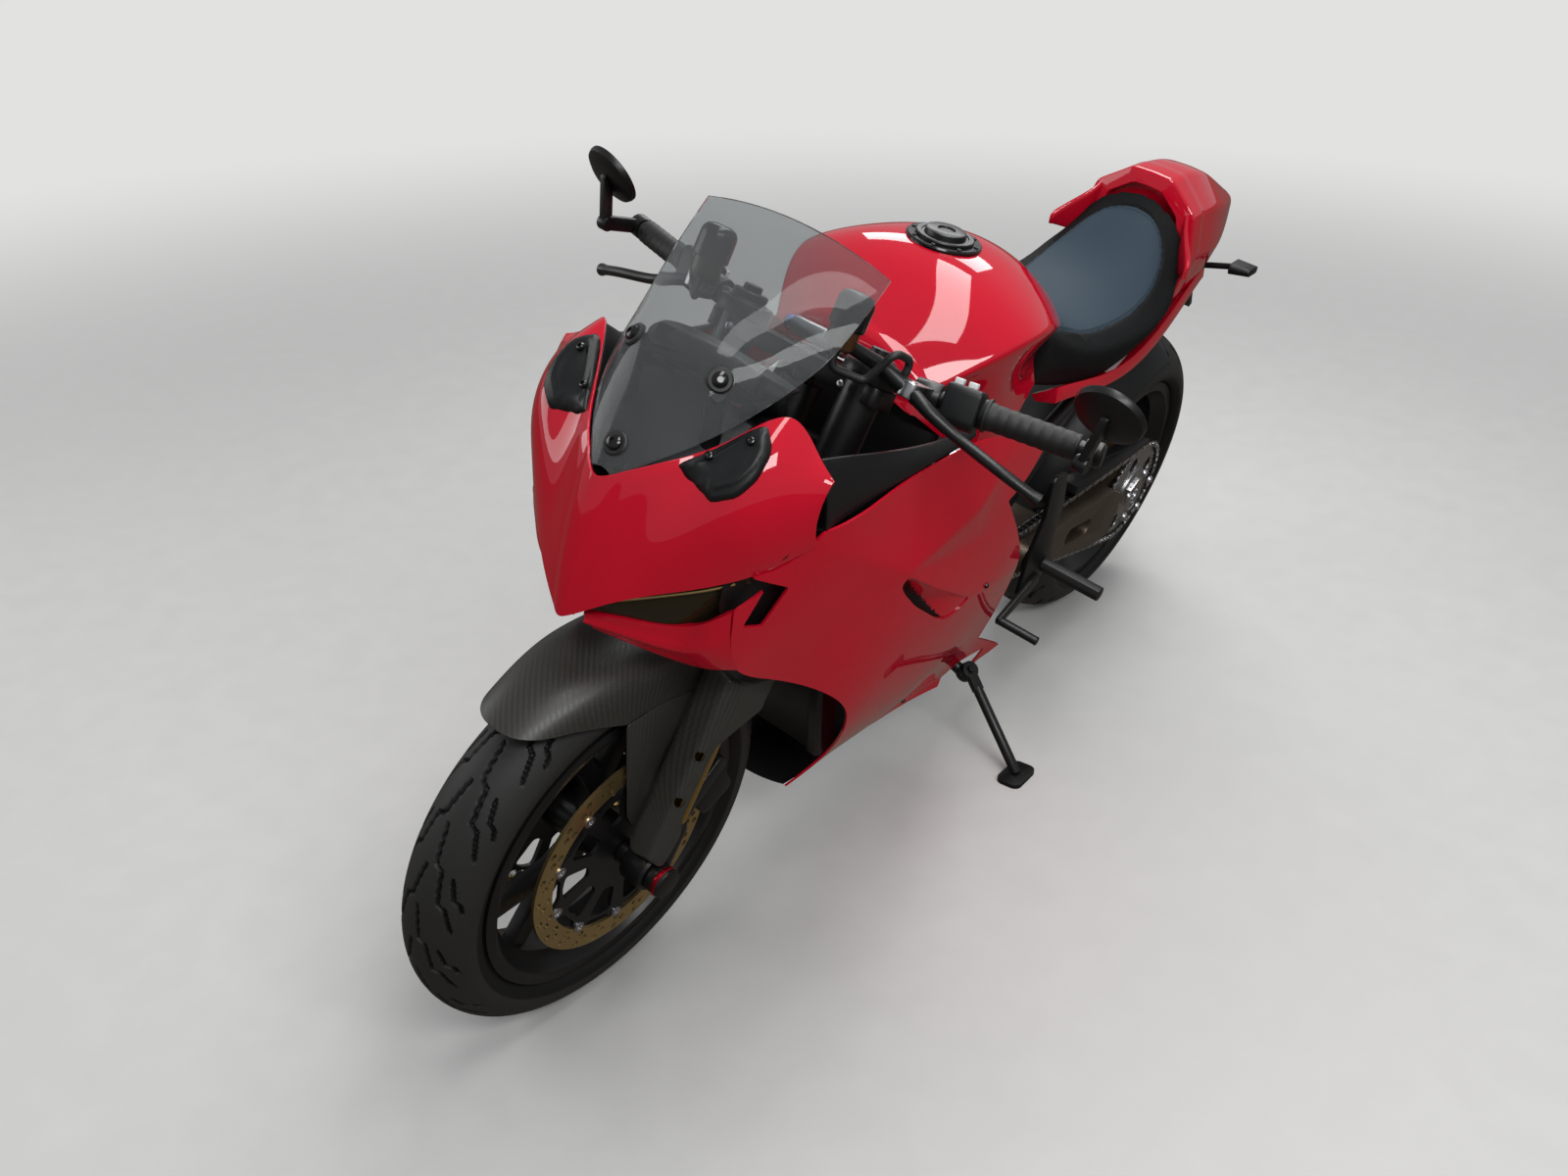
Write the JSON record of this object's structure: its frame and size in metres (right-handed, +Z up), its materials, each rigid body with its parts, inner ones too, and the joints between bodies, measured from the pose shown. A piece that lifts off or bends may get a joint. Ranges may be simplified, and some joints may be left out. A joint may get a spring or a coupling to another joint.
{
  "type": "sport motorcycle",
  "caption": "Fully faired sport motorcycle with a single-sided swingarm, raised bars and bar-end mirrors, parked leaning on its side stand.",
  "frame": {"origin": "on the floor under the middle of the parked bike's bounding box", "axes": "+X forward along the bike, +Y to the rider's left, the side it leans to, +Z up"},
  "size_m": [2.0925, 0.8756, 1.1189],
  "materials": {
    "red_gloss": "gloss",
    "red_tank": "gloss",
    "black_satin": "satin",
    "black_metal": "satin",
    "grey_cast": "satin",
    "bronze_cast": "satin",
    "steel": "brushed",
    "bronze_disc": "brushed",
    "gold_tube": "polished",
    "fibre_twill": "satin",
    "tyre": "matt",
    "rubber": "matt",
    "seat_cover": "satin",
    "screen": "clear",
    "lamp_glass": "smoked",
    "red_lens": "gloss"
  },
  "bodies": {
    "chassis": {"swingarm": "bronze_cast", "rear_hub": "grey_cast", "chain": "steel", "radiator": "black_metal", "engine": "grey_cast", "exhaust": "steel", "fuel_tank": "red_tank", "fuel_cap": "black_metal", "frame": "black_metal", "rear_shock": "black_metal", "footrests": "black_metal", "foot_controls": "black_metal", "rider_seat": "seat_cover", "tail_cowl": "red_gloss", "tail_panels": "red_gloss", "tail_light": "red_lens", "plate_holder": "black_satin", "rear_indicators": "black_satin", "rear_hugger": "black_satin", "stand_bracket": "black_metal", "nose_fairing": "red_gloss", "left_fairing": "red_gloss", "right_fairing": "red_gloss", "chin_fairing": "red_gloss", "headlight_lenses": "lamp_glass", "windscreen": "screen", "dashboard": "black_satin", "headlight_unit": "black_satin", "cockpit_panels": "black_satin", "mirror_covers": "black_satin", "belly_pan": "black_satin"},
    "steering": {"upper_clamp": "black_metal", "lower_clamp": "black_metal", "fork_outers": "black_metal", "fork_inners": "gold_tube", "front_axle": "steel", "front_fender": "fibre_twill", "calipers": "black_metal", "handlebars": "black_metal", "grips": "rubber", "switchgear": "black_satin", "lever_controls": "black_metal", "reservoirs": "black_satin", "mirrors": "black_metal", "steering_damper": "steel", "hoses": "rubber"},
    "front_wheel": {"front_rim": "black_metal", "front_tyre": "tyre", "front_discs": "bronze_disc"},
    "rear_wheel": {"rear_rim": "black_metal", "rear_tyre": "tyre", "rear_disc": "bronze_disc", "rear_sprocket": "steel"},
    "stand": {"side_stand": "black_metal"}
  },
  "joints": [
    {"name": "steering", "type": "hinge", "parent": "chassis", "child": "steering", "pos_m": [0.47164, -0.041, 0.80392], "axis": [-0.4067, 0.1915, 0.8932], "range_deg": [-24.6, 31.4]},
    {"name": "front_wheel_spin", "type": "hinge", "parent": "steering", "child": "front_wheel", "pos_m": [0.74664, -0.15233, 0.29586], "axis": [0.0542, 0.9811, -0.1857], "continuous": true},
    {"name": "rear_wheel_spin", "type": "hinge", "parent": "chassis", "child": "rear_wheel", "pos_m": [-0.73129, -0.14687, 0.31011], "axis": [0, 0.9778, -0.2096], "continuous": true},
    {"name": "stand_fold", "type": "hinge", "parent": "chassis", "child": "stand", "pos_m": [-0.12029, -0.04809, 0.15071], "axis": [0.2078, 0.6821, 0.7011], "range_deg": [0, 90.21]}
  ]
}
